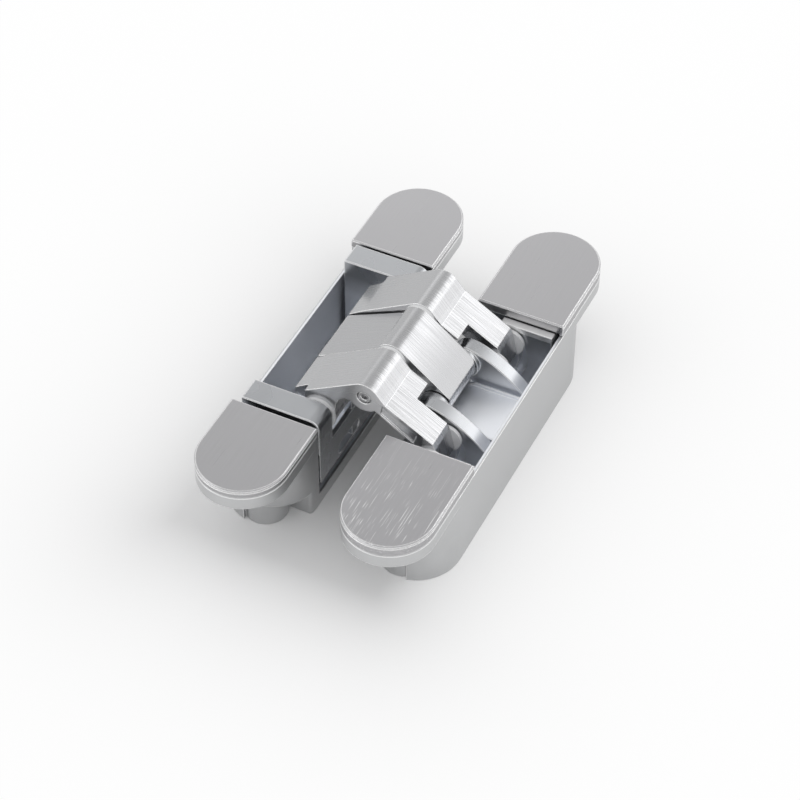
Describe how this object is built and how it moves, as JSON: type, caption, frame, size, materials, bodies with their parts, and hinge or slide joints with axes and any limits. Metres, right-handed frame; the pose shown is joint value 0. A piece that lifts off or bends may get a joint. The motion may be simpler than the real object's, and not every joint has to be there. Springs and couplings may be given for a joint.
{
  "type": "concealed door hinge",
  "caption": "Concealed door hinge with two mortised leaves, crossed folding levers on a centre pin and push-fit end covers, shown fully open.",
  "frame": {"origin": "centre of the bounding box at the level of the housing bottoms", "axes": "+X from the left leaf to the right leaf, +Y along the hinge, +Z out of the leaf faces when the hinge is fully open"},
  "size_m": [0.0638, 0.1214, 0.0374],
  "materials": {
    "casting": "satin",
    "carriage": "satin",
    "cover": "brushed",
    "lever": "brushed",
    "pin": "satin",
    "disc": "matte",
    "screw": "satin"
  },
  "bodies": {
    "left_leaf": {"left_housing": "casting", "left_cover_near": "cover", "left_cover_far": "cover", "left_clamp_screw_near": "screw", "left_clamp_screw_far": "screw"},
    "left_slider": {"left_carriage": "carriage", "left_pivot_pin_near": "pin", "left_pivot_pin_far": "pin"},
    "outer_lever": {"outer_lever_near": "lever", "outer_lever_far": "lever", "centre_pin": "pin", "guide_pin_near": "pin", "guide_pin_far": "pin", "guide_disc_near_inner": "disc", "guide_disc_near_outer": "disc", "guide_disc_far_inner": "disc", "guide_disc_far_outer": "disc", "left_washer_near": "disc", "left_washer_far": "disc", "centre_washer_near": "disc", "centre_washer_far": "disc"},
    "middle_lever": {"middle_lever": "lever", "middle_guide_pin": "pin"},
    "right_slider": {"right_carriage": "carriage", "right_pivot_pin": "pin"},
    "right_leaf": {"right_housing": "casting", "right_cover_near": "cover", "right_cover_far": "cover", "right_clamp_screw_near": "screw", "right_clamp_screw_far": "screw"}
  },
  "joints": [
    {"name": "side_adjust", "type": "slide", "parent": "left_leaf", "child": "left_slider", "axis": [1, 0, 0], "range_m": [-0.0008, 0.0008]},
    {"name": "fold", "type": "hinge", "parent": "left_slider", "child": "outer_lever", "pos_m": [-0.0125, 0, 0.0225], "axis": [0, -1, 0], "range_deg": [0, 110.6]},
    {"name": "cross", "type": "hinge", "parent": "outer_lever", "child": "middle_lever", "pos_m": [0, 0, 0.033], "axis": [0, -1, 0], "range_deg": [-41.3, 0]},
    {"name": "fold_right", "type": "hinge", "parent": "middle_lever", "child": "right_slider", "pos_m": [0.0125, 0, 0.0225], "axis": [0, -1, 0], "range_deg": [0, 110.7]},
    {"name": "height_adjust", "type": "slide", "parent": "right_slider", "child": "right_leaf", "axis": [0, 1, 0], "range_m": [-0.0015, 0.0015]}
  ],
  "couplings": [
    {"joint": "cross", "follows": "fold", "ratio": -0.37289},
    {"joint": "fold_right", "follows": "fold", "ratio": 1}
  ]
}
